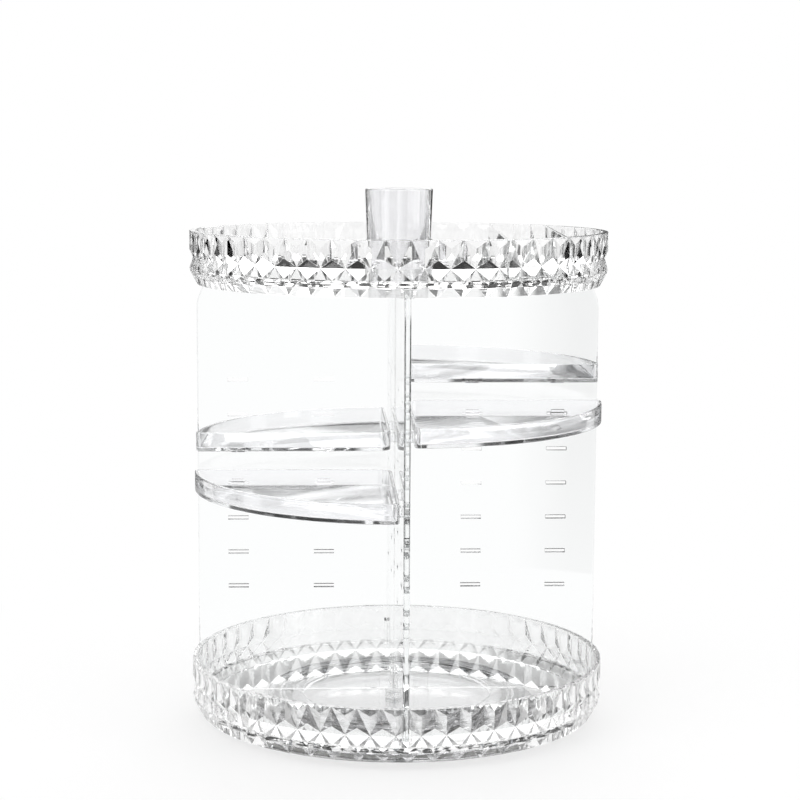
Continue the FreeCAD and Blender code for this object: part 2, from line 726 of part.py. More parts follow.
def make_base_disc():
    body = new_body("base_disc")
    bore = "Sizes.pivot_radius + Sizes.pivot_play"
    pocket_radius = "Sizes.pivot_head + Sizes.pivot_pocket_gap"
    boss_top = "Places.base_boss_top - Places.base_under"
    points = (
        (pocket_radius, "0"),
        ("Places.base_radius", "0"),
        ("Places.base_radius", "Sizes.base_thickness"),
        ("Sizes.boss_radius", "Sizes.base_thickness"),
        ("Sizes.boss_radius", boss_top),
        (bore, boss_top),
        (bore, "Sizes.pivot_pocket"),
        (pocket_radius, "Sizes.pivot_pocket"),
    )
    revolve(body, outline(body, "XZ_Plane", "base_profile", points))
    doc.recompute()
    race_groove(body, "lower_race", "Places.ball_level - Places.base_under")
    doc.recompute()
    seat = circle(body, "XY_Plane", "pad_seat", "Sizes.pad_radius + Sizes.pad_gap", "Places.pad_ring", "0")
    ring_pattern(body, "pad_seats", [pocket(body, seat, "Sizes.pad_recess")], "Sizes.pad_count")
    put(body, z="Places.base_under")


def make_pads(sizes):
    count = int(round(sizes.pad_count))
    pads = []
    for index in range(count):
        x, y = polar("Places.pad_ring", 360 * index / count)
        height = "Sizes.pad_proud + Sizes.pad_recess"
        pads.append(cylinder("pad_%d" % index, "Sizes.pad_radius", height, "0", x, y))
    group = doc.addObject("Part::Compound", "anti_slip_pads")
    group.Links = pads
    hide_in("anti_slip_pads", group)


def make_balls(sizes):
    count = int(round(sizes.ball_count))
    balls = []
    for index in range(count):
        ball = doc.addObject("Part::Sphere", "ball_%d" % index)
        bind(ball, Radius="Sizes.ball_radius")
        x, y = polar("Sizes.ball_ring", 360 * index / count)
        balls.append(put(ball, x, y, "Places.ball_level"))
    group = doc.addObject("Part::Compound", "bearing_balls")
    group.Links = balls
    hide_in("bearing_balls", group)


def make_ball_cage():
    body = new_body("ball_cage")
    inner = "Sizes.ball_ring - Sizes.cage_width / 2"
    outer = "Sizes.ball_ring + Sizes.cage_width / 2"
    points = ((inner, "0"), (outer, "0"), (outer, "Sizes.cage_thickness"), (inner, "Sizes.cage_thickness"))
    revolve(body, outline(body, "XZ_Plane", "cage_profile", points))
    doc.recompute()
    hole = circle(body, "XY_Plane", "ball_hole", "Sizes.ball_radius + Sizes.cage_play", "Sizes.ball_ring", "0")
    ring_pattern(body, "ball_holes", [pocket(body, hole, "Sizes.cage_thickness")], "Sizes.ball_count")
    put(body, z="Places.ball_level - Sizes.cage_thickness / 2")


def make_race_ring():
    body = new_body("race_ring")
    inner = "Places.race_inner"
    outer = "Places.race_outer"
    top = "Sizes.race_thickness"
    points = ((inner, "0"), (outer, "0"), (outer, top), (inner, top))
    revolve(body, outline(body, "XZ_Plane", "race_profile", points))
    doc.recompute()
    # the lowest part of the circle lies below the ring, so the centre is dimensioned downwards
    sketch = sketch_on(body, "XZ_Plane", "upper_race")
    sketch.addGeometry(Part.Circle(FreeCAD.Vector(1, -1, 0), Z_AXIS, 1.0), False)
    for constraint, formula in (
        (Sketcher.Constraint("Radius", 0, 1.0), "Sizes.ball_radius + Sizes.race_gap"),
        (Sketcher.Constraint("DistanceX", -1, 1, 0, 3, 1.0), "Sizes.ball_ring"),
        (Sketcher.Constraint("DistanceY", 0, 3, -1, 1, 1.0), "Places.race_under - Places.ball_level"),
    ):
        number = sketch.addConstraint(constraint)
        sketch.setExpression("Constraints[%d]" % number, formula)
    revolve(body, sketch, "Groove")
    doc.recompute()
    hole = "Sizes.ring_screw_radius + Sizes.ring_screw_play"
    seat = "Sizes.ring_screw_head + Sizes.ring_screw_head_gap"
    shank = circle(body, "XY_Plane", "ring_shank", hole, "Places.screw_ring", "0")
    head = circle(body, "XY_Plane", "ring_head", seat, "Places.screw_ring", "0")
    cuts = [
        pocket(body, shank, "Sizes.race_thickness"),
        pocket(body, head, "Sizes.ring_screw_sink + Sizes.ring_screw_head_height"),
    ]
    ring_pattern(body, "ring_screw_seats", cuts, "Sizes.ring_screw_count")
    turn(body, 45)
    put(body, z="Places.race_under")


def make_ring_screws(sizes):
    """Pan-head screws that go up through the upper race into the floor of the bottom tray."""
    count = int(round(sizes.ring_screw_count))
    screws = []
    for index in range(count):
        x, y = polar("Places.screw_ring", 45 + 360 * index / count)
        head_foot = "Places.race_under + Sizes.ring_screw_sink"
        head = cylinder(
            "ring_screw_head_%d" % index,
            "Sizes.ring_screw_head",
            "Sizes.ring_screw_head_height",
            head_foot,
            x,
            y,
        )
        shank = cylinder(
            "ring_screw_shank_%d" % index,
            "Sizes.ring_screw_radius",
            "Places.floor_under + Sizes.ring_screw_bite - (%s)" % head_foot,
            head_foot,
            x,
            y,
        )
        screws.append(fuse("ring_screw_%d" % index, [head, shank]))
    group = doc.addObject("Part::Compound", "ring_screws")
    group.Links = screws
    hide_in("ring_screws", group)


def make_pivot():
    """A screw up through the foot into the bottom tray, with a washer under its head."""
    body = new_body("pivot_washer")
    bore = "Sizes.pivot_radius + Sizes.pivot_play"
    edge = "Sizes.pivot_head + Sizes.pivot_play"
    thick = "Sizes.washer_thickness"
    points = ((bore, "0"), (edge, "0"), (edge, thick), (bore, thick))
    body.Tip = revolve(body, outline(body, "XZ_Plane", "washer_profile", points))
    washer_under = "Places.pivot_pocket_top - Sizes.rest_gap - Sizes.washer_thickness"
    put(body, z=washer_under)

    body = new_body("pivot_screw")
    head_foot = washer_under + " - Sizes.pivot_head_height"
    tip = "Places.tray_boss_under + Sizes.pivot_bite - (%s)" % head_foot
    points = (
        ("0", "0"),
        ("Sizes.pivot_head", "0"),
        ("Sizes.pivot_head", "Sizes.pivot_head_height"),
        ("Sizes.pivot_radius", "Sizes.pivot_head_height"),
        ("Sizes.pivot_radius", tip),
        ("0", tip),
    )
    body.Tip = revolve(body, outline(body, "XZ_Plane", "pivot_profile", points))
    put(body, z=head_foot)


# ---------------------------------------------------------------------------------------------------
# The whole carousel

def make_all():
    sizes = make_sheet("Sizes", SIZES)
    make_sheet("Places", PLACES, "=")
    make_base_disc()
    make_pads(sizes)
    make_balls(sizes)
    make_ball_cage()
    make_race_ring()
    make_ring_screws(sizes)
    make_pivot()
    make_bottom_tray(sizes)
    for label, quarter in PANELS:
        make_panel(label, quarter)
    for label, quarter, row in FAN_TRAYS:
        make_fan_tray(label, quarter, row)
    make_top_tray(sizes)
    make_brush_cup()
    make_lipstick_rack()
    doc.recompute()


NODES = (
    "base_disc",
    "anti_slip_pads",
    "bearing_balls",
    "ball_cage",
    "race_ring",
    "ring_screws",
    "pivot_washer",
    "pivot_screw",
    "bottom_tray",
    "right_panel",
    "back_panel",
    "left_panel",
    "front_panel",
    "back_right_tray",
    "back_left_tray",
    "front_left_tray",
    "front_right_tray",
    "top_tray",
    "brush_cup",
    "lipstick_rack",
)


def write_parts():
    for thing in doc.Objects:
        if "Invalid" in thing.State or "Error" in thing.State:
            raise ValueError("%s failed: %s" % (thing.Name, thing.State))
    os.makedirs("parts", exist_ok=True)
    for label in NODES:
        shape = doc.getObjectsByLabel(label)[0].Shape
        if shape.isNull() or not shape.isValid() or not shape.Solids:
            raise ValueError("%s has no valid solid" % label)
    for label in NODES:
        shape = doc.getObjectsByLabel(label)[0].Shape
        shape.exportStep("parts/%s.step" % label)
        print("%-18s %2d solids %12.2f mm3" % (label, len(shape.Solids), shape.Volume))


make_all()
write_parts()
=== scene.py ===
import math

import bpy
import numpy as np
from mathutils import Matrix, Vector


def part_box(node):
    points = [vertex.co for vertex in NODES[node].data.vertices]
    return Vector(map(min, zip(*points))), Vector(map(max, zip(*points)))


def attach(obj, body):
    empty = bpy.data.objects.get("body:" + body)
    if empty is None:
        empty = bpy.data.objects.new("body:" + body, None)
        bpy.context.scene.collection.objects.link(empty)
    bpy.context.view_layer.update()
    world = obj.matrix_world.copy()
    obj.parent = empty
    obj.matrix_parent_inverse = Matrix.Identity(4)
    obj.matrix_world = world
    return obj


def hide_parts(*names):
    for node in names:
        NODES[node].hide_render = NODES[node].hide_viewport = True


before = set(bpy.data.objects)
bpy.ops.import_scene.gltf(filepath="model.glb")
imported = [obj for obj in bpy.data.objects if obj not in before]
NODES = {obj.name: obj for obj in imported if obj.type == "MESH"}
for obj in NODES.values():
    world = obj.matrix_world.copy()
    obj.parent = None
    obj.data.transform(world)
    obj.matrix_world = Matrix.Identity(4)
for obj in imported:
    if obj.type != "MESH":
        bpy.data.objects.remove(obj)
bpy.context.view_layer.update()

# A round, clear make-up carousel of injection-moulded plastic on a ball-bearing foot. Lengths are written
# in millimetres and turned to metres where a mesh is made. +Z is up and the front panel lies along -Y.

MM = 0.001

# clear faces at one height would flicker, so a piece stands this far off the floor that carries it
REST_GAP = 0.05

# smooth faces that meet at more than this many degrees keep a crisp edge
CREASE = 28

# Rims of both round trays, heights above the lower edge
RIM_RADIUS = 142.0
RIM_INNER = 138.0
RIM_FOOT_RADIUS = 137.0
RIM_CELLS = 54
RIM_PHASE = math.radians(0.7)
RIM_RELIEF = 2.2
CROWN_RELIEF = 1.4
RIM_HEIGHT = 36.0
CROWN_HEIGHT = 30.6
PEAK_HEIGHT = 23.4
STAR_HEIGHT = 18.0
BAND_TOP = 10.8
BAND_FOOT = 8.4
TOE_HEIGHT = 3.6

# Edges between a rim's facets: degrees from which they are crisp, degrees from which they are worn, and
# how wide the wear is
FACET_CREASE = 5
FACET_EDGE = 7
FACET_WEAR = 0.22

# Inside of both round trays, heights above the rim's lower edge
SKIRT_INNER = 133.6
FLOOR_RISE = 10.0
FLOOR_UNDER = 7.0

# Heights above the table of the rims' lower edges and of the floors in them
LOWER_RIM = 6.0
UPPER_RIM = 300.6
LOWER_FLOOR = LOWER_RIM + FLOOR_RISE
UPPER_FLOOR = UPPER_RIM + FLOOR_RISE

# Ribs that hold the panels: start and length outwards, lower and upper edge, gap to the panel's face
RIB_WALL = 1.8
OUTER_SOCKETS = (123.0, 10.0, 14.5, 34.0, 0.2)
INNER_SOCKETS = (12.0, 10.0, 14.5, 34.0, 0.2)
HANGER_RIBS = (103.2, 25.0, 301.6, 309.1, 0.3)

# Panels, measured outwards from the axis and up from the lower floor
PANEL_HALF = 2.1
PANEL_START = 2.35
PANEL_EDGE = 137.6
PANEL_BOW = 0.8
PANEL_WEAR = 0.3
NECK_EDGE = 132.8
PANEL_HEIGHT = 291.5
NECK_DROP = 8.0
SHOULDER_DROP = 12.0
SHOULDER_RADIUS = 20.0
SLOT_LENGTH = 14.0
SLOT_HEIGHT = 2.4
SLOT_COLUMNS = (51.0, 110.0)
SLOT_ROWS = 74.0 + 24.0 * np.arange(7)

# each panel and its quarter turns from +X
PANELS = (("right_panel", 0), ("back_panel", 1), ("left_panel", 2), ("front_panel", 3))

# Fan trays, in the quarter between +X and +Y, heights above their undersides
FAN_RADIUS = 139.5
FAN_SIDE = 4.6
FAN_HEIGHT = 13.0
FAN_WALL = 2.2
FAN_HEART = 10.0
FAN_CORNER = 4.0
HEEL_GAP = 0.3
HEEL_HEIGHT = 6.0
TONGUE_HALF = 4.5
TONGUE_REACH = 1.7
TONGUE_LOW = 1.6
TONGUE_HIGH = 3.4

# each fan tray, its quarter turns from there, and the height of its underside above the table
FAN_TRAYS = (
    ("back_right_tray", 0, 231.5),
    ("back_left_tray", 1, 183.5),
    ("front_left_tray", 2, 159.5),
    ("front_right_tray", 3, 207.5),
)

# Brush cup: radii, and heights above the upper floor
CUP_MOUTH = 23.0
CUP_FOOT = 21.0
CUP_BORE = 19.0
CUP_HEIGHT = 54.0
CUP_FLOOR = 3.0

# Lipstick rack: middles of its two walls, thickness of its sheet, height, radius of its ends and its turn
RACK_WALLS = (67.5, 107.2)
RACK_SHEET = 1.8
RACK_RISE = 25.55
RACK_REACH = 137.4
RACK_TURN = math.radians(-2.5)
RACK_WEAR = 0.4

# Balls: their number, radius, ring and height above the table. A groove's wall meets the flat face 35.8
# degrees off the level of the balls' middles.
BALL_COUNT = 20
BALL_RADIUS = 2.5
BALL_RING = 80.0
BALL_HEIGHT = 5.95
GROOVE_RADIUS = 2.65
GROOVE_EDGE = 35.8

# Foot: height of its underside above the table, and its sizes up from there
DISC_UNDER = 1.2
DISC_RADIUS = 98.0
DISC_THICKNESS = 3.2
BOSS_RADIUS = 8.0
BOSS_HEIGHT = 7.8
PIVOT_BORE = 2.08
POCKET_RADIUS = 6.0
POCKET_DEPTH = 2.8

# Boss under the lower tray, as wide as the foot's: height of its end above the table, and its length
TRAY_BOSS_UNDER = 9.3
TRAY_BOSS_LENGTH = 5.2

# Upper race: height of its underside above the table, and its sizes up from there
RACE_UNDER = 7.5
RACE_THICKNESS = 5.5
RACE_INNER = 66.0
RACE_OUTER = 90.0
SEAT_RADIUS = 3.2
SEAT_DEPTH = 2.1
SEAT_BORE = 1.45

# Pads and screws: their rings, the pads' size, and the height of the screws' heads above the table
PAD_RING = 87.0
PAD_RADIUS = 6.0
PAD_HEIGHT = 2.0
SCREW_RING = 71.2
SCREW_UNDER = 7.8
SCREW_PLACES = SCREW_RING * np.array([(1, 1, 0), (-1, 1, 0), (-1, -1, 0), (1, -1, 0)]) / math.sqrt(2)


# ---------------------------------------------------------------------------------------------------
# Colour and node helpers

def linear(colour):
    """An sRGB hex value as linear red, green and blue: a power curve of 2.4 with a short straight toe."""
    srgb = np.array([int(colour[index:index + 2], 16) for index in (1, 3, 5)]) / 255
    return tuple(np.where(srgb <= 0.04045, srgb / 12.92, ((srgb + 0.055) / 1.055) ** 2.4))


def add(tree, kind, sockets=None, **settings):
    """Add a node, set its properties and give each named or numbered input a value or a link."""
    made = tree.nodes.new("ShaderNode" + kind)
    for name, value in settings.items():
        setattr(made, name, value)
    for name, value in (sockets or {}).items():
        if isinstance(value, bpy.types.NodeSocket):
            tree.links.new(value, made.inputs[name])
        else:
            made.inputs[name].default_value = value
    return made


def blank(name):
    """A new material and its empty node tree."""
    made = bpy.data.materials.new(name)
    made.use_nodes = True
    made.node_tree.nodes.clear()
    return made, made.node_tree


def finish_shader(made, tree, shader):
    """Link the shader to the material's output."""
    add(tree, "OutputMaterial", {"Surface": shader.outputs[0]})
    return made


# ---------------------------------------------------------------------------------------------------
# Materials

def clear_plastic(name, tint, ior, gloss, ripple, ripple_mm):
    """Clear injection-moulded plastic.

    It is colourless and polished, so the eye reads it from its reflections and from what its edges bend.
    The skin follows slow ripples where the melt shrank, and fine wiping scratches dull it in places.
    """
    made, tree = blank(name)
    place = add(tree, "TexCoord").outputs["Object"]
    flow = add(tree, "TexNoise", {"Vector": place, "Scale": 1 / (ripple_mm * MM), "Detail": 1.0})
    # wiping marks from 9 mm down to about 0.6 mm, far coarser than real scratches so that they show
    wipes = add(tree, "TexNoise", {
        "Vector": place, "Scale": 1 / (9 * MM), "Detail": 4.0, "Roughness": 0.7,
    })
    dull = add(tree, "MapRange", {
        "Value": wipes.outputs[0], 1: 0.45, 2: 0.75, 3: gloss, 4: gloss + 0.05,
    })
    bump = add(tree, "Bump", {"Height": flow.outputs[0], "Strength": 1.0, "Distance": ripple * MM})
    shader = add(tree, "BsdfPrincipled", {
        "Base Color": (*linear(tint), 1),
        "Roughness": dull.outputs[0],
        "IOR": ior,
        "Transmission Weight": 1.0,
        "Normal": bump.outputs[0],
    })
    return finish_shader(made, tree, shader)


def white_acetal():
    """Ground acetal: dense white with a waxy sheen and the faintest mottling."""
    made, tree = blank("white_acetal")
    place = add(tree, "TexCoord").outputs["Object"]
    mottle = add(tree, "TexNoise", {"Vector": place, "Scale": 1 / (2 * MM), "Detail": 3.0})
    colour = add(tree, "Mix", {
        0: mottle.outputs[0], 6: (*linear("#ECEBE6"), 1), 7: (*linear("#F6F5F1"), 1),
    }, data_type="RGBA")
    shader = add(tree, "BsdfPrincipled", {
        "Base Color": colour.outputs[2], "Roughness": 0.28, "IOR": 1.48, "Subsurface Weight": 0.1,
        "Subsurface Scale": 0.002,
    })
    return finish_shader(made, tree, shader)


def moulded_polypropylene():
    """Moulded white polypropylene with a fine spark-eroded grain."""
    made, tree = blank("moulded_polypropylene")
    place = add(tree, "TexCoord").outputs["Object"]
    grain = add(tree, "TexNoise", {"Vector": place, "Scale": 1 / (0.8 * MM), "Detail": 3.0})
    bump = add(tree, "Bump", {"Height": grain.outputs[0], "Strength": 0.4, "Distance": 0.05 * MM})
    shade = add(tree, "MapRange", {"Value": grain.outputs[0], 3: 0.42, 4: 0.58})
    shader = add(tree, "BsdfPrincipled", {
        "Base Color": (*linear("#EFEFEC"), 1), "Roughness": shade.outputs[0], "IOR": 1.49,
        "Normal": bump.outputs[0],
    })
    return finish_shader(made, tree, shader)


def silicone():
    """Translucent silicone rubber: milky, soft to the eye, with dust in its skin."""
    made, tree = blank("silicone")
    place = add(tree, "TexCoord").outputs["Object"]
    dust = add(tree, "TexNoise", {"Vector": place, "Scale": 1 / (1.5 * MM), "Detail": 5.0})
    colour = add(tree, "Mix", {
        0: dust.outputs[0], 6: (*linear("#D5D9DA"), 1), 7: (*linear("#E9ECEC"), 1),
    }, data_type="RGBA")
    bump = add(tree, "Bump", {"Height": dust.outputs[0], "Strength": 0.3, "Distance": 0.04 * MM})
    shader = add(tree, "BsdfPrincipled", {
        "Base Color": colour.outputs[2], "Roughness": 0.55, "IOR": 1.41, "Transmission Weight": 0.35,
        "Normal": bump.outputs[0],
    })
    return finish_shader(made, tree, shader)


def zinc_plate():
    """Zinc-plated steel: pale grey metal, cloudy from the plating bath."""
    made, tree = blank("zinc_plate")
    place = add(tree, "TexCoord").outputs["Object"]
    cloud = add(tree, "TexNoise", {"Vector": place, "Scale": 1 / (1.2 * MM), "Detail": 4.0})
    colour = add(tree, "Mix", {
        0: cloud.outputs[0], 6: (*linear("#A9ADB2"), 1), 7: (*linear("#C6C9CC"), 1),
    }, data_type="RGBA")
    rough = add(tree, "MapRange", {"Value": cloud.outputs[0], 3: 0.22, 4: 0.38})
    shader = add(tree, "BsdfPrincipled", {
        "Base Color": colour.outputs[2], "Metallic": 1.0, "Roughness": rough.outputs[0],
    })
    return finish_shader(made, tree, shader)


# tint, index of refraction, roughness where unworn, depth and length of the ripples in millimetres
CRYSTAL_STYRENE = clear_plastic("crystal_styrene", "#FEFEFE", 1.59, 0.0, 0.03, 14)
STYRENE_SHEET = clear_plastic("styrene_sheet", "#FDFEFE", 1.59, 0.0, 0.05, 45)
FAN_STYRENE = clear_plastic("fan_styrene", "#FDFDFE", 1.59, 0.01, 0.04, 22)
SAN_FOOT = clear_plastic("san_foot", "#FBFBFC", 1.57, 0.06, 0.03, 18)
ACETAL = white_acetal()
POLYPROPYLENE = moulded_polypropylene()
SILICONE = silicone()
ZINC = zinc_plate()


# ---------------------------------------------------------------------------------------------------
# Mesh helpers

def loop_quads(rows, columns):
    """Quads between neighbouring rows of a grid whose columns close on themselves."""
    row, column = np.meshgrid(np.arange(rows - 1), np.arange(columns), indexing="ij")
    ahead = (column + 1) % columns
    here = row * columns
    quads = np.stack([here + column, here + ahead, here + columns + ahead, here + columns + column], -1)
    return quads.reshape(-1, 4)


def lathe(profile, steps, start=0.0):
    """A profile of radius and height carried round the Z axis: x = r cos a, y = r sin a, z = h."""
    angle = start + 2 * np.pi * np.arange(steps) / steps
    radius, height = np.asarray(profile, float).T
    ring = np.stack([np.cos(angle), np.sin(angle)], -1)
    flat = radius[:, None, None] * ring[None]
    up = np.broadcast_to(height[:, None, None], (len(radius), steps, 1))
    return np.concatenate([flat, up], -1).reshape(-1, 3)


def capped_lathe(profile, steps):
    """Points and faces of a profile carried round the Z axis and closed by a disc at each end."""
    points = lathe(profile, steps)
    faces = loop_quads(len(profile), steps).tolist()
    faces.append(np.arange(steps)[::-1])
    faces.append(np.arange(len(points) - steps, len(points)))
    return points, faces


def copied_faces(faces, count, copies):
    """The same faces for each of several copies of a set of points."""
    return [np.array(face) + number * count for number in range(copies) for face in faces]


def arc(centre, radius, first, last, steps):
    """Points on a circle from one angle to another, in degrees."""
    angle = np.radians(np.linspace(first, last, steps))
    return np.stack([centre[0] + radius * np.cos(angle), centre[1] + radius * np.sin(angle)], -1)


def quarter_turns(points, turns):
    """Points turned about Z by a number of right angles."""
    cos, sin = ((1, 0), (0, 1), (-1, 0), (0, -1))[turns % 4]
    points = np.asarray(points, float)
    x, y, z = points.T
    return np.stack([cos * x - sin * y, sin * x + cos * y, z], -1)


def mesh_from(name, points, faces, smooth_above=None):
    """A mesh in metres from points in millimetres; faces may have any number of corners."""
    mesh = bpy.data.meshes.new(name)
    mesh.from_pydata((np.asarray(points) * MM).tolist(), [], [list(map(int, face)) for face in faces])
    mesh.validate()
    if smooth_above is not None:
        mesh.shade_smooth()
        mesh.set_sharp_from_angle(angle=math.radians(smooth_above))
    return mesh


def show(name, mesh, material, body, slot, *nodes):
    """Put a mesh into the scene as a piece that rides on a body and stands for CAD nodes."""
    mesh.materials.clear()
    mesh.materials.append(material)
    piece = bpy.data.objects.new(name, mesh)
    bpy.context.scene.collection.objects.link(piece)
    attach(piece, body)
    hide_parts(*nodes)
    return piece


def block(low, high):
    """The eight corners and six faces of an upright block, faces outwards."""
    (x0, y0, z0), (x1, y1, z1) = low, high
    points = [(x, y, z) for z in (z0, z1) for y in (y0, y1) for x in (x0, x1)]
    faces = [(0, 2, 3, 1), (4, 5, 7, 6), (0, 1, 5, 4), (2, 6, 7, 3), (0, 4, 6, 2), (1, 3, 7, 5)]
    return np.array(points), np.array(faces)


def blocks(corners):
    """Several upright blocks as one set of points and faces."""
    points, faces = [], []
    for low, high in corners:
        more, quads = block(low, high)
        faces.append(quads + 8 * len(points))
        points.append(more)
    return np.concatenate(points), np.concatenate(faces)


def joined(name, base, *others, operation="UNION", sharp=None):
    """The solid that several closed meshes make together, or one less the others, without inner walls."""
    target = bpy.data.objects.new(name, base)
    bpy.context.scene.collection.objects.link(target)
    tools = []
    for other in others:
        tool = bpy.data.objects.new(name + "_tool", other)
        bpy.context.scene.collection.objects.link(tool)
        step = target.modifiers.new("join", "BOOLEAN")
        step.operation = operation
        step.solver = "EXACT"
        step.object = tool
        tools.append(tool)
    ready = target.evaluated_get(bpy.context.evaluated_depsgraph_get())
    mesh = bpy.data.meshes.new_from_object(ready)
    mesh.name = name
    if sharp is not None:
        mesh.shade_smooth()
        mesh.set_sharp_from_angle(angle=math.radians(sharp))
    for thing in [target] + tools:
        bpy.data.objects.remove(thing)
    return mesh


def soften(piece, width, segments=2, angle=35):
    """Round a piece's edges with a bevel, as a mould or a polisher leaves them."""
    edge = piece.modifiers.new("soft_edges", "BEVEL")
    edge.width = width * MM
    edge.segments = segments
    edge.limit_method = "ANGLE"
    edge.angle_limit = math.radians(angle)
    edge.harden_normals = False
    return piece


# ---------------------------------------------------------------------------------------------------
# Round trays

WALL_STEPS = 4 * RIM_CELLS


def diamond_side():
    """The diamond-cut outside of a rim, in twenty flat facets to a cell.

    Each ring of corners is r (cos a, sin a) at one height, with a = phase + 2 pi (cell + step) / cells.
    Ridges stand at step 0.5 and valleys at step 0, 1.4 mm deeper at their tops and 2.2 mm at the stars.
    Below the plain band each corner of the foot opens to the valleys on both sides, so the lower edge is
    pleated.
    """
    cell = np.arange(RIM_CELLS)
    valley = RIM_RADIUS - RIM_RELIEF
    toe_radius = RIM_FOOT_RADIUS + (valley - RIM_FOOT_RADIUS) * TOE_HEIGHT / BAND_FOOT
    rings = (
        (0.5, RIM_RADIUS, RIM_HEIGHT),
        (0.0, RIM_RADIUS - CROWN_RELIEF, CROWN_HEIGHT),
        (0.5, RIM_RADIUS, PEAK_HEIGHT),
        (0.0, valley, STAR_HEIGHT),
        (0.5, RIM_RADIUS, BAND_TOP),
        (-0.25, RIM_RADIUS - RIM_RELIEF / 2, BAND_TOP),
        (0.25, RIM_RADIUS - RIM_RELIEF / 2, BAND_TOP),
        (0.0, valley, BAND_FOOT),
        (0.5, RIM_RADIUS - RIM_RELIEF / 4, BAND_FOOT),
        (0.0, toe_radius, TOE_HEIGHT),
        (0.5, RIM_FOOT_RADIUS, 0.0),
    )
    crest, crown, peak, star, keel, fore, aft, low_valley, low_ridge, toe, foot = range(len(rings))
    here, back, ahead = cell, (cell - 1) % RIM_CELLS, (cell + 1) % RIM_CELLS

    def ring(step, radius, height):
        angle = RIM_PHASE + 2 * np.pi * (cell + step) / RIM_CELLS
        flat = [radius * np.cos(angle), radius * np.sin(angle)]
        return np.stack(flat + [np.full(RIM_CELLS, height)], -1)

    def facets(*corners):
        return np.stack([number * RIM_CELLS + where for number, where in corners], -1)

    faces = [
        facets((crest, back), (crown, here), (crest, here)),
        facets((crown, here), (star, here), (crest, here)),
        facets((star, here), (peak, here), (crest, here)),
        facets((crown, ahead), (crest, here), (star, ahead)),
        facets((star, ahead), (crest, here), (peak, here)),
        facets((star, here), (star, ahead), (peak, here)),
        facets((star, here), (keel, here), (star, ahead)),
        facets((star, here), (aft, here), (keel, here)),
        facets((star, ahead), (keel, here), (fore, ahead)),
        facets((star, here), (fore, here), (aft, here)),
        facets((fore, here), (low_valley, here), (aft, here)),
        facets((aft, here), (low_ridge, here), (keel, here)),
        facets((aft, here), (low_valley, here), (low_ridge, here)),
        facets((fore, ahead), (keel, here), (low_ridge, here)),
        facets((fore, ahead), (low_ridge, here), (low_valley, ahead)),
        facets((low_valley, here), (toe, here), (foot, here)),
        facets((low_valley, here), (foot, here), (low_ridge, here)),
        facets((low_valley, ahead), (low_ridge, here), (foot, here)),
        facets((low_valley, ahead), (foot, here), (toe, ahead)),
        facets((toe, here), (foot, back), (foot, here)),
    ]
    points = np.concatenate([ring(*where) for where in rings])
    return points, [list(face) for kind in faces for face in kind]


def round_tray_mesh(name, height, *ribs):
    """A round tray: the diamond-cut side, then a lathe-turned inside and underside, then moulded ribs.

    The inside profile runs from the rim's lip down the wall and round a small fillet to the floor, and the
    underside profile runs up the inside of the skirt to the underside of the floor.
    """
    side, faces = diamond_side()
    lip, fillet = 0.6, 0.35
    inside = np.concatenate([
        arc((RIM_INNER + lip, RIM_HEIGHT - lip), lip, 90, 180, 5),
        arc((RIM_INNER - fillet, FLOOR_RISE + fillet), fillet, 0, -90, 6),
    ])
    under = np.concatenate([
        [(SKIRT_INNER, 0.0)],
        arc((SKIRT_INNER - fillet, FLOOR_UNDER - fillet), fillet, 0, 90, 6),
    ])
    # both turned surfaces start their steps at a crest of the rim
    start = RIM_PHASE + np.pi / RIM_CELLS
    points = np.concatenate([side, lathe(inside, WALL_STEPS, start), lathe(under, WALL_STEPS, start)])
    first_inner = len(side)
    first_under = first_inner + len(inside) * WALL_STEPS
    turned = np.concatenate([
        loop_quads(len(inside), WALL_STEPS) + first_inner,
        loop_quads(len(under), WALL_STEPS)[:, ::-1] + first_under,
    ])
    flat_count = len(faces)
    faces += turned.tolist()
    faces.append(np.arange(first_under - WALL_STEPS, first_under))
    faces.append(np.arange(len(points) - WALL_STEPS, len(points))[::-1])
    # flat rings between the many-sided rim and the round walls, one face to a cell
    step = WALL_STEPS // RIM_CELLS
    crest = np.arange(RIM_CELLS)
    foot = len(side) - RIM_CELLS + crest
    arcs = (step * crest[:, None] + np.arange(step + 1)) % WALL_STEPS
    upper = np.column_stack([crest, np.roll(crest, -1), first_inner + arcs[:, ::-1]])
    lower = np.column_stack([np.roll(foot, -1), foot, first_under + arcs])
    faces += upper.tolist() + lower.tolist()
    points[:, 2] += height
    mesh = mesh_from(name, points, faces)
    smooth = np.zeros(len(mesh.polygons), bool)
    smooth[flat_count:flat_count + len(turned)] = True
    mesh.polygons.foreach_set("use_smooth", smooth)
    if ribs:
        mesh = joined(name, mesh, *ribs)
    mesh.set_sharp_from_angle(angle=math.radians(FACET_CREASE))
    return mesh


def rib_mesh(name, start, length, low, high, gap):
    """Pairs of upright ribs 1.8 mm thick, either side of the four panels."""
    near = PANEL_HALF + gap
    points, faces = blocks([
        ((start, side, low), (start + length, side + RIB_WALL, high))
        for side in (near, -near - RIB_WALL)
    ])
    return mesh_from(
        name,
        np.concatenate([quarter_turns(points, turn) for turn in range(4)]),
        np.concatenate([faces + turn * len(points) for turn in range(4)]),
    )


# ---------------------------------------------------------------------------------------------------
# Panels

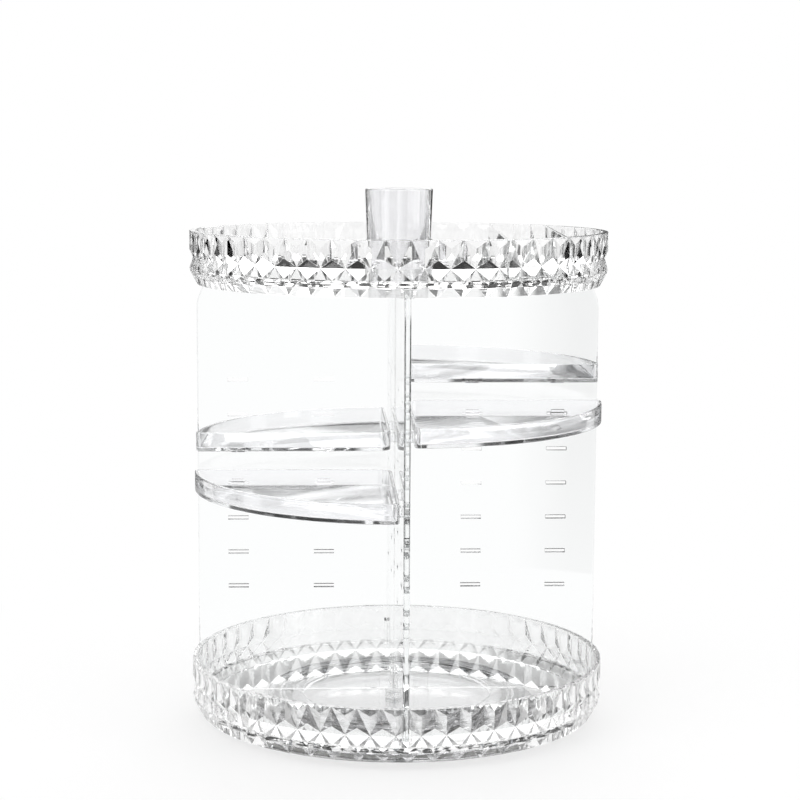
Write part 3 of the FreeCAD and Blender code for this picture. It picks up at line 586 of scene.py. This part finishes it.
def panel_mesh(name, turn):
    """An upright plate with slots, as two grids of points joined round every open edge.

    The grid's columns stand at the plate's inner edge and at the ends of the slots, and its rows at the
    slots' upper and lower sides. The outer edge follows the shoulder: straight, round a 20 mm arc, down a
    slope and up the neck. The last six columns bow round it: x = edge - r (1 - sin t) and
    y = r (1 - cos t) - half the thickness, as t goes from 0 to 90 degrees.
    """
    half = SLOT_LENGTH / 2
    ends = [middle + side for middle in SLOT_COLUMNS for side in (-half, half)]
    columns = np.array([PANEL_START] + ends)
    bow = np.radians(np.linspace(0, 90, 6))
    neck = PANEL_HEIGHT - NECK_DROP
    bend = neck - SHOULDER_DROP
    slope = math.atan((PANEL_EDGE - NECK_EDGE) / SHOULDER_DROP)
    tangent = SHOULDER_RADIUS * math.tan(slope / 2)
    middle = (PANEL_EDGE - SHOULDER_RADIUS, bend - tangent)
    curve = arc(middle, SHOULDER_RADIUS, 0, math.degrees(slope), 9)
    slots = (SLOT_ROWS[:, None] + np.array([-SLOT_HEIGHT / 2, SLOT_HEIGHT / 2])).ravel()
    rows = np.concatenate([[REST_GAP], slots, curve[:, 1], [neck, PANEL_HEIGHT]])
    edge = np.concatenate([np.full(1 + len(slots), PANEL_EDGE), curve[:, 0], [NECK_EDGE, NECK_EDGE]])
    flat = np.broadcast_to(columns, (len(rows), len(columns)))
    x = np.hstack([flat, edge[:, None] - PANEL_BOW * (1 - np.sin(bow))])
    y = np.append(np.zeros(len(columns)), PANEL_BOW * (1 - np.cos(bow))) - PANEL_HALF
    front = np.stack([x, np.broadcast_to(y, x.shape), np.broadcast_to(rows[:, None], x.shape)], -1)
    front = front.reshape(-1, 3)
    back = front * (1, -1, 1)
    solid = np.ones((len(rows) - 1, x.shape[1] - 1), bool)
    for row in range(1, 1 + len(slots), 2):
        solid[row, 1] = solid[row, 3] = False
    number = np.arange(x.size).reshape(x.shape)
    cells = np.stack([number[:-1, :-1], number[:-1, 1:], number[1:, 1:], number[1:, :-1]], -1)
    kept = cells[solid]
    faces = [kept, kept[:, ::-1] + x.size]
    padded = np.pad(solid, 1)
    for side, (down, across) in enumerate(((-1, 0), (0, 1), (1, 0), (0, -1))):
        beside = np.roll(padded, (-down, -across), (0, 1))[1:-1, 1:-1]
        open_cells = cells[solid & ~beside]
        first, second = open_cells[:, side], open_cells[:, (side + 1) % 4]
        faces.append(np.stack([second, first, first + x.size, second + x.size], -1))
    points = quarter_turns(np.concatenate([front, back]), turn)
    points[:, 2] += LOWER_FLOOR
    return mesh_from(name, points, np.concatenate(faces))


# ---------------------------------------------------------------------------------------------------
# Fan trays

def fan_outline():
    """The outline of a fan tray and its outward direction at each point.

    Straight sides stand 4.6 mm from the panels' middles. A 10 mm arc rounds the corner at the axis, 4 mm
    arcs round the outer corners and a 139.5 mm arc joins them. Moving each point in along its direction
    gives the same outline set in, because every arc keeps its centre.
    """
    heart = (FAN_SIDE + FAN_HEART, FAN_SIDE + FAN_HEART)
    reach = math.sqrt((FAN_RADIUS - FAN_CORNER) ** 2 - (FAN_SIDE + FAN_CORNER) ** 2)
    right, left = (reach, FAN_SIDE + FAN_CORNER), (FAN_SIDE + FAN_CORNER, reach)
    swing = math.degrees(math.atan2(FAN_SIDE + FAN_CORNER, reach))
    angles = [
        (heart, FAN_HEART, np.linspace(180, 270, 14)),
        (right, FAN_CORNER, np.linspace(270, 360 + swing, 14)),
        ((0.0, 0.0), FAN_RADIUS, np.linspace(swing, 90 - swing, 60)[1:-1]),
        (left, FAN_CORNER, np.linspace(90 - swing, 180, 14)),
    ]
    points, outward = [], []
    for centre, radius, degrees in angles:
        turn = np.radians(degrees)
        direction = np.stack([np.cos(turn), np.sin(turn)], -1)
        points.append(np.array(centre) + radius * direction)
        outward.append(direction)
    return np.concatenate(points), np.concatenate(outward)


def fan_tray_mesh(name, turn, height):
    """A wall profile carried round the fan outline, closed by a flat floor and underside, with tongues.

    The profile gives how far each ring is set in and its height: round the keel, up the outside, over a
    rounded lip, down the inside and round a fillet to the floor.
    """
    keel, lip, fillet = 0.6, 0.7, 1.0
    profile = np.concatenate([
        arc((keel, keel), keel, 270, 180, 5),
        arc((lip, FAN_HEIGHT - lip), lip, 180, 90, 4),
        arc((FAN_WALL - lip, FAN_HEIGHT - lip), lip, 90, 0, 4),
        arc((FAN_WALL + fillet, FAN_WALL + fillet), fillet, 180, 270, 5),
    ])
    outline, outward = fan_outline()
    inset, rise = profile.T
    flat = outline[None] - inset[:, None, None] * outward[None]
    up = np.broadcast_to(rise[:, None, None], flat.shape[:2] + (1,))
    points = np.concatenate([flat, up], -1).reshape(-1, 3)
    count = len(outline)
    faces = loop_quads(len(profile), count).tolist()
    faces.append(np.arange(count)[::-1])
    faces.append(np.arange(len(points) - count, len(points)))
    body = mesh_from(name, points, faces)
    hooks = []
    root = FAN_SIDE + FAN_WALL / 2
    heel = ("heel", PANEL_HALF + HEEL_GAP, 0.0, HEEL_HEIGHT)
    tongue = ("tongue", PANEL_HALF - TONGUE_REACH, TONGUE_LOW, TONGUE_HIGH)
    for part, tip, low, high in (heel, tongue):
        corners = []
        for column in SLOT_COLUMNS:
            near, far = column - TONGUE_HALF, column + TONGUE_HALF
            corners.append(((near, tip, low), (far, root, high)))
            corners.append(((tip, near, low), (root, far, high)))
        hooks.append(mesh_from(name + "_" + part, *blocks(corners)))
    mesh = joined(name, body, *hooks)
    points = np.empty(3 * len(mesh.vertices))
    mesh.vertices.foreach_get("co", points)
    points = quarter_turns(points.reshape(-1, 3), turn) + (0, 0, height * MM)
    mesh.vertices.foreach_set("co", points.ravel())
    mesh.shade_smooth()
    mesh.set_sharp_from_angle(angle=math.radians(CREASE))
    return mesh


# ---------------------------------------------------------------------------------------------------
# Brush cup and lipstick rack

def turned_solid(name, profile, steps, height, smooth_above=CREASE):
    """A profile that starts under the axis and ends over it, carried round it and closed by two discs."""
    points, faces = capped_lathe(profile, steps)
    points[:, 2] += height
    return mesh_from(name, points, faces, smooth_above)


def turned_ring(name, profile, steps, height, smooth_above=CREASE):
    """A closed profile carried round the axis: its last row joins its first again."""
    rows = len(profile)
    points = lathe(profile, steps)
    points[:, 2] += height
    faces = loop_quads(rows + 1, steps) % (rows * steps)
    return mesh_from(name, points, faces, smooth_above)


def brush_cup_mesh():
    """A tumbler: a rounded foot, a wall that leans out 2 mm, a full round lip and a filleted inside."""
    foot, lip, fillet = 1.1, 0.95, 1.6
    profile = np.concatenate([
        arc((CUP_FOOT - foot, foot), foot, -90, 0, 5),
        arc((CUP_MOUTH - lip, CUP_HEIGHT - lip), lip, 0, 180, 9),
        arc((CUP_BORE - fillet, CUP_FLOOR + fillet), fillet, 0, -90, 5),
    ])
    return turned_solid("brush_cup_tumbler", profile, 128, UPPER_FLOOR + REST_GAP)


def lipstick_rack_mesh():
    """A channel of sheet: pairs of points, outside and inside, carried from one end to the other.

    A point at x reaches y = plus and minus the root of R squared less x squared, so both ends follow the
    rim. Rows between the ends let the sheet's ripples show.
    """
    inner, outer = RACK_WALLS
    half = RACK_SHEET / 2
    floor = np.linspace(inner + half, outer - half, 9)[1:-1]
    outside = np.concatenate([
        [(inner - half, RACK_RISE), (inner - half, 0.0)],
        np.stack([floor, np.zeros(len(floor))], -1),
        [(outer + half, 0.0), (outer + half, RACK_RISE)],
    ])
    inside = np.concatenate([
        [(inner + half, RACK_RISE), (inner + half, RACK_SHEET)],
        np.stack([floor, np.full(len(floor), RACK_SHEET)], -1),
        [(outer - half, RACK_SHEET), (outer - half, RACK_RISE)],
    ])
    section = np.concatenate([outside, inside[::-1]])
    along = np.linspace(-1, 1, 9)
    reach = np.sqrt(RACK_REACH ** 2 - section[:, 0] ** 2)
    y = along[:, None] * reach[None]
    x = np.broadcast_to(section[:, 0], y.shape)
    z = np.broadcast_to(section[:, 1], y.shape) + UPPER_FLOOR + REST_GAP
    cos, sin = math.cos(RACK_TURN), math.sin(RACK_TURN)
    points = np.stack([x * cos - y * sin, x * sin + y * cos, z], -1).reshape(-1, 3)
    count = len(section)
    faces = loop_quads(len(along), count)[:, ::-1].tolist()
    pair = np.arange(len(outside) - 1)
    near = np.stack([pair, pair + 1, count - 2 - pair, count - 1 - pair], -1)
    faces += near.tolist() + (near[:, ::-1] + (len(along) - 1) * count).tolist()
    return mesh_from("lipstick_rack_channel", points, faces)


# ---------------------------------------------------------------------------------------------------
# Turntable

def foot_mesh():
    """The foot: a disc with rounded edges, a ball groove, a boss and a pocket for the pivot's head."""
    edge, boss_edge = 0.8, 0.6
    ball = (BALL_RING, BALL_HEIGHT - DISC_UNDER)
    profile = np.concatenate([
        [(POCKET_RADIUS, 0.0)],
        arc((DISC_RADIUS - edge, edge), edge, -90, 0, 4),
        arc((DISC_RADIUS - edge, DISC_THICKNESS - edge), edge, 0, 90, 4),
        arc(ball, GROOVE_RADIUS, 360 - GROOVE_EDGE, 180 + GROOVE_EDGE, 12),
        [(BOSS_RADIUS, DISC_THICKNESS)],
        arc((BOSS_RADIUS - boss_edge, BOSS_HEIGHT - boss_edge), boss_edge, 0, 90, 4),
        [(PIVOT_BORE, BOSS_HEIGHT), (PIVOT_BORE, POCKET_DEPTH), (POCKET_RADIUS, POCKET_DEPTH)],
    ])
    return turned_ring("foot_disc", profile, 160, DISC_UNDER)


def race_mesh():
    """The upper race: a flat ring with a ball groove under it and four stepped seats for its screws.

    Its top stands 0.05 mm clear of the tray's floor.
    """
    edge, top = 0.5, RACE_THICKNESS - REST_GAP
    ball = (BALL_RING, BALL_HEIGHT - RACE_UNDER)
    profile = np.concatenate([
        arc((RACE_INNER + edge, edge), edge, 180, 270, 3),
        arc(ball, GROOVE_RADIUS, 180 - GROOVE_EDGE, GROOVE_EDGE, 12),
        arc((RACE_OUTER - edge, edge), edge, -90, 0, 3),
        [(RACE_OUTER, top), (RACE_INNER, top)],
    ])
    # what cuts a seat stands out of both faces of the ring
    tip, below, above = 0.2, -1.0, 7.0
    seat = turned_solid("screw_seat", [
        (tip, below), (SEAT_RADIUS, below), (SEAT_RADIUS, SEAT_DEPTH), (SEAT_BORE, SEAT_DEPTH),
        (SEAT_BORE, above), (tip, above),
    ], 32, RACE_UNDER)
    ring = turned_ring("upper_race_blank", profile, 160, RACE_UNDER)
    seats = placed("screw_seats", seat, SCREW_PLACES)
    return joined("upper_race", ring, seats, operation="DIFFERENCE", sharp=CREASE)


def ball_ring_mesh():
    """Twenty balls: each is a sphere, r sin p (cos a, sin a), -r cos p, moved out to the ring."""
    polar = np.radians(np.linspace(6, 174, 14))
    ball, faces = capped_lathe(BALL_RADIUS * np.stack([np.sin(polar), -np.cos(polar)], -1), 24)
    around = 2 * np.pi * np.arange(BALL_COUNT) / BALL_COUNT
    flat = [BALL_RING * np.cos(around), BALL_RING * np.sin(around)]
    centres = np.stack(flat + [np.full(BALL_COUNT, BALL_HEIGHT)], -1)
    points = (centres[:, None] + ball[None]).reshape(-1, 3)
    return mesh_from("race_balls", points, copied_faces(faces, len(ball), BALL_COUNT), smooth_above=60)


def pad_mesh():
    """Four round pads whose undersides are turned with two shallow rings, so that they grip."""
    tip, ring = 0.4, 0.35
    pad, faces = capped_lathe([
        (tip, 0.0), (1.6, 0.0), (2.0, ring), (2.6, ring), (3.0, 0.0), (3.8, 0.0), (4.2, ring), (4.8, ring),
        (5.1, 0.0), (5.4, 0.0), (PAD_RADIUS, 0.5), (PAD_RADIUS, PAD_HEIGHT), (tip, PAD_HEIGHT),
    ], 48)
    points = np.concatenate([quarter_turns(pad + (PAD_RING, 0.0, 0.0), turn) for turn in range(4)])
    return mesh_from("grip_pads", points, copied_faces(faces, len(pad), 4), CREASE)


def screw_mesh(name, head, head_height, shank, length):
    """A pan-head screw, point up: a dished head with a cross recess, and a shank with a rolled thread.

    The thread is r (1 - d (1 - cos(2 pi z / p - a))): a ridge that climbs one pitch p a turn.
    """
    steps, pitch, tip, dome = 36, 0.8, 0.3, 0.7
    plain, thread_depth = 0.5, 0.06
    rings = np.arange(head_height + plain, length, pitch / 6)
    solid_head = np.concatenate([
        [(tip, 0.0)],
        arc((head - dome, dome), dome, -90, 0, 4),
        [(head, head_height), (shank, head_height)],
    ])
    threaded = np.stack([np.full(len(rings), shank), rings], -1)
    points, faces = capped_lathe(np.concatenate([solid_head, threaded, [(tip, length)]]), steps)
    threads = points[len(solid_head) * steps:-steps]
    angle = np.arctan2(threads[:, 1], threads[:, 0])
    depth = 1 - thread_depth * (1 - np.cos(2 * np.pi * threads[:, 2] / pitch - angle))
    threads[:, :2] *= depth[:, None]
    # the cross is drawn as shares of the head's radius and height
    arm, width, deep, below = head * 0.55, head * 0.11, head_height * 0.55, -1.0
    return joined(
        name,
        mesh_from(name, points, faces),
        mesh_from(name + "_cross", *block((-arm, -width, below), (arm, width, deep))),
        mesh_from(name + "_cross_arm", *block((-width, -arm, below), (width, arm, deep))),
        operation="DIFFERENCE",
    )


def placed(name, mesh, places):
    """Copies of a mesh at several places, in millimetres, as one mesh."""
    points = np.empty(3 * len(mesh.vertices))
    mesh.vertices.foreach_get("co", points)
    points = points.reshape(-1, 3) / MM
    faces = [face.vertices for face in mesh.polygons]
    every = copied_faces(faces, len(points), len(places))
    return mesh_from(name, np.concatenate([points + place for place in places]), every, smooth_above=35)


# ---------------------------------------------------------------------------------------------------
# Stage: floor, world, lamps and camera

# sine of the height above the horizon, and how bright the room is there
CEILING = (
    (0.0, 1.0), (0.18, 1.0), (0.19, 0.0), (0.23, 0.0), (0.24, 1.0), (0.3, 1.0), (0.34, 0.0), (0.54, 0.0),
    (0.58, 1.0), (0.66, 1.0), (0.7, 0.0),
)

# share of 45 degrees off the middle of a backdrop, and how bright the room is there
SCREENS = ((0.0, 1.0), (0.13, 1.0), (0.17, 0.0))

# sines of the heights between which the screens come in, from below the horizon up
SCREEN_FOOT = (-0.35, -0.1)

# radius of the table top in millimetres, and the distances in metres between which it turns white
TABLE_RADIUS = 480.0
TABLE_FADE = (0.12, 0.45)


def fill_ramp(ramp, stops):
    """Give a colour ramp its places and greys."""
    for number, (place, grey) in enumerate(stops):
        elements = ramp.color_ramp.elements
        stop = elements[number] if number < 2 else elements.new(place)
        stop.position, stop.color = place, (grey, grey, grey, 1)


def background_rays(tree):
    """1 for the rays that see the background: the camera's, and those that plastic bends or mirrors.

    A ray that has met a dull surface on its way sees the plain room instead.
    """
    rays = add(tree, "LightPath")
    bent = add(tree, "Math", {
        0: rays.outputs["Is Glossy Ray"], 1: rays.outputs["Is Transmission Ray"],
    }, operation="MAXIMUM")
    clean = add(tree, "Math", {0: rays.outputs["Diffuse Depth"], 1: 0.5}, operation="LESS_THAN")
    bent = add(tree, "Math", {0: bent.outputs[0], 1: clean.outputs[0]}, operation="MULTIPLY")
    seen = add(tree, "Math", {0: rays.outputs["Is Camera Ray"], 1: bent.outputs[0]}, operation="MAXIMUM")
    return rays, seen


def make_floor():
    """A round pale table top at the height that the pads rest on; away from the foot it turns white."""
    mesh = bpy.data.meshes.new("table_top")
    edge = lathe([(TABLE_RADIUS, 0.0)], 96) * MM
    mesh.from_pydata(edge.tolist(), [], [list(range(len(edge)))])
    made, tree = blank("table_paint")
    place = add(tree, "TexCoord").outputs["Object"]
    away = add(tree, "VectorMath", {0: place}, operation="LENGTH").outputs["Value"]
    fade = add(tree, "MapRange", {
        "Value": away, 1: TABLE_FADE[0], 2: TABLE_FADE[1], 3: 0.7, 4: 1.0,
    }, interpolation_type="SMOOTHSTEP")
    seen = background_rays(tree)[1]
    share = add(tree, "Math", {0: seen.outputs[0], 1: fade.outputs[0]}, operation="MULTIPLY")
    paint = add(tree, "BsdfPrincipled", {"Base Color": (*linear("#F4F4F4"), 1), "Roughness": 0.7})
    white = add(tree, "Emission", {"Color": (1, 1, 1, 1), "Strength": 1.0})
    both = add(tree, "MixShader", {0: share.outputs[0], 1: paint.outputs[0], 2: white.outputs[0]})
    mesh.materials.append(finish_shader(made, tree, both))
    top = bpy.data.objects.new("table_top", mesh)
    bpy.context.scene.collection.objects.link(top)


def make_world():
    """The room round the table: plain white to the camera, patterned where plastic bends or mirrors it.

    Clear plastic shows only what stands round it. A dark ceiling with light rings draws its rims and lips,
    and dark screens draw its edges. Only rays that a face has mirrored at least once meet the screens, so
    that what is seen straight through stays clear from every side.
    """
    world = bpy.data.worlds.new("studio")
    bpy.context.scene.world = world
    world.use_nodes = True
    tree = world.node_tree
    tree.nodes.clear()
    direction = add(tree, "TexCoord").outputs["Generated"]
    parts = add(tree, "SeparateXYZ", {0: direction})
    ramp = add(tree, "ValToRGB", {0: parts.outputs["Z"]})
    fill_ramp(ramp, CEILING)
    # dark screens stand in eight gaps between white backdrops, one backdrop every 45 degrees
    around = add(tree, "Math", {0: parts.outputs["Y"], 1: parts.outputs["X"]}, operation="ARCTAN2")
    eighths = add(tree, "Math", {0: around.outputs[0], 1: 8 / math.tau}, operation="MULTIPLY")
    off_middle = add(tree, "Math", {0: eighths.outputs[0], 1: 0.5}, operation="PINGPONG")
    screens = add(tree, "ValToRGB", {0: off_middle.outputs[0]})
    fill_ramp(screens, SCREENS)
    rays, seen = background_rays(tree)
    mirrored = add(tree, "Math", {0: rays.outputs["Glossy Depth"], 1: 0.5}, operation="GREATER_THAN")
    share = add(tree, "MapRange", {
        "Value": parts.outputs["Z"], 1: SCREEN_FOOT[0], 2: SCREEN_FOOT[1], 4: mirrored.outputs[0],
    }, interpolation_type="SMOOTHSTEP")
    room = add(tree, "Mix", {
        0: share.outputs[0], 6: ramp.outputs["Color"], 7: screens.outputs["Color"],
    }, data_type="RGBA", blend_type="MULTIPLY")
    level = add(tree, "Mix", {
        0: seen.outputs[0], 6: (0.9, 0.9, 0.9, 1), 7: room.outputs[2],
    }, data_type="RGBA")
    shown = add(tree, "Mix", {
        0: rays.outputs["Is Camera Ray"], 6: level.outputs[2], 7: (1, 1, 1, 1),
    }, data_type="RGBA")
    light = add(tree, "Background", {"Color": shown.outputs[2], "Strength": 1.0})
    add(tree, "OutputWorld", {"Surface": light.outputs[0]})


def softbox(name, place, size, power):
    """A rectangular lamp that faces the middle of the carousel."""
    lamp = bpy.data.lights.new(name, "AREA")
    lamp.shape = "RECTANGLE"
    lamp.size, lamp.size_y = size
    lamp.energy = power
    made = bpy.data.objects.new(name, lamp)
    made.location = place
    aim = Vector((0, 0, 0.18)) - Vector(place)
    made.rotation_euler = aim.to_track_quat("-Z", "Y").to_euler()
    bpy.context.scene.collection.objects.link(made)


def make_camera():
    """A long lens in front of the carousel, a little above its middle and looking slightly down.

    Its distance from the axis and its height are in metres, its focal length in millimetres.
    """
    away, height = 1.3336, 0.3947
    azimuth = math.radians(-92.5)
    tilt = math.radians(7.473)
    pan = math.radians(0.059)
    roll = math.radians(0.30)
    place = Vector((away * math.cos(azimuth), away * math.sin(azimuth), height))
    level = -Vector((place.x, place.y, 0)).normalized()
    forward = level * math.cos(tilt) - Vector((0, 0, 1)) * math.sin(tilt)
    right = forward.cross(Vector((0, 0, 1))).normalized()
    forward = (forward + right * math.tan(pan)).normalized()
    right = forward.cross(Vector((0, 0, 1))).normalized()
    up = right.cross(forward)
    leaning_right = right * math.cos(roll) + up * math.sin(roll)
    leaning_up = up * math.cos(roll) - right * math.sin(roll)
    camera = bpy.data.objects.new("camera", bpy.data.cameras.new("camera"))
    camera.data.sensor_width = 36.0
    camera.data.lens = 87.8715
    camera.data.clip_end = 20.0
    turn = Matrix((leaning_right, leaning_up, -forward)).transposed()
    camera.matrix_world = Matrix.Translation(place) @ turn.to_4x4()
    bpy.context.scene.collection.objects.link(camera)
    bpy.context.scene.camera = camera


make_camera()
make_floor()
make_world()
# places and sizes in metres, power in watts
softbox("key_light", (-1.4, -1.2, 1.6), (1.2, 1.2), 14)
softbox("fill_light", (1.7, -0.9, 0.9), (0.8, 1.4), 7)
softbox("back_light", (0.3, 1.8, 1.2), (1.6, 0.8), 12)
studio = bpy.context.scene
studio.view_settings.view_transform = "Standard"
# light is caught between the faces of clear plastic and leaves it after many turns
BOUNCES = 128
studio.cycles.max_bounces = BOUNCES
studio.cycles.transmission_bounces = BOUNCES
studio.cycles.glossy_bounces = BOUNCES

# ---------------------------------------------------------------------------------------------------
# Make the carousel

chamfer, tip = 0.4, 0.5
boss = turned_solid("tray_boss", [
    (tip, 0.0), (BOSS_RADIUS - chamfer, 0.0), (BOSS_RADIUS, chamfer), (BOSS_RADIUS, TRAY_BOSS_LENGTH),
    (tip, TRAY_BOSS_LENGTH),
], 48, TRAY_BOSS_UNDER)
outer_sockets = rib_mesh("outer_sockets", *OUTER_SOCKETS)
inner_sockets = rib_mesh("inner_sockets", *INNER_SOCKETS)
lower_tray = round_tray_mesh("lower_diamond_tray", LOWER_RIM, outer_sockets, inner_sockets, boss)
lower = show("lower_diamond_tray", lower_tray, CRYSTAL_STYRENE, "carousel", "diamond_clear", "bottom_tray")
soften(lower, FACET_WEAR, segments=1, angle=FACET_EDGE)
upper_tray = round_tray_mesh("upper_diamond_tray", UPPER_RIM, rib_mesh("hanger_ribs", *HANGER_RIBS))
upper = show("upper_diamond_tray", upper_tray, CRYSTAL_STYRENE, "top_tray", "diamond_clear", "top_tray")
soften(upper, FACET_WEAR, segments=1, angle=FACET_EDGE)
for label, turn in PANELS:
    name = label + "_plate"
    plate = show(name, panel_mesh(name, turn), STYRENE_SHEET, "carousel", "panel_clear", label)
    soften(plate, PANEL_WEAR)
for label, turn, rise in FAN_TRAYS:
    name = label + "_fan"
    show(name, fan_tray_mesh(name, turn, rise), FAN_STYRENE, label, "fan_tray_clear", label)
show("brush_tumbler", brush_cup_mesh(), FAN_STYRENE, "brush_cup", "cup_clear", "brush_cup")
channel = lipstick_rack_mesh()
rack = show("rack_channel", channel, STYRENE_SHEET, "lipstick_rack", "rack_clear", "lipstick_rack")
soften(rack, RACK_WEAR)
show("foot", foot_mesh(), SAN_FOOT, "base", "foot_clear", "base_disc")
show("race_balls", ball_ring_mesh(), ACETAL, "cage", "ball_white", "bearing_balls")
show("grip_pads", pad_mesh(), SILICONE, "base", "pad_rubber", "anti_slip_pads")
small = screw_mesh("race_screw", head=2.8, head_height=1.8, shank=1.25, length=7.4)
show("upper_race", race_mesh(), SAN_FOOT, "carousel", "race_clear", "race_ring")
four = placed("race_screws", small, SCREW_PLACES + (0, 0, SCREW_UNDER))
show("race_screws", four, ZINC, "carousel", "screw_steel", "ring_screws")
low, high = (corner[2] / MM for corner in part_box("pivot_screw"))
large = screw_mesh("pivot_blank", head=4.6, head_height=1.6, shank=2.0, length=high - low)
show("pivot", placed("pivot", large, [(0, 0, low)]), ZINC, "carousel", "screw_steel", "pivot_screw")

# the ball cage and the pivot's washer keep their CAD solids and only take a finish
FINISH = {"ball_cage": POLYPROPYLENE, "pivot_washer": ZINC}
for label, material in FINISH.items():
    for holder in NODES[label].material_slots:
        holder.material = material
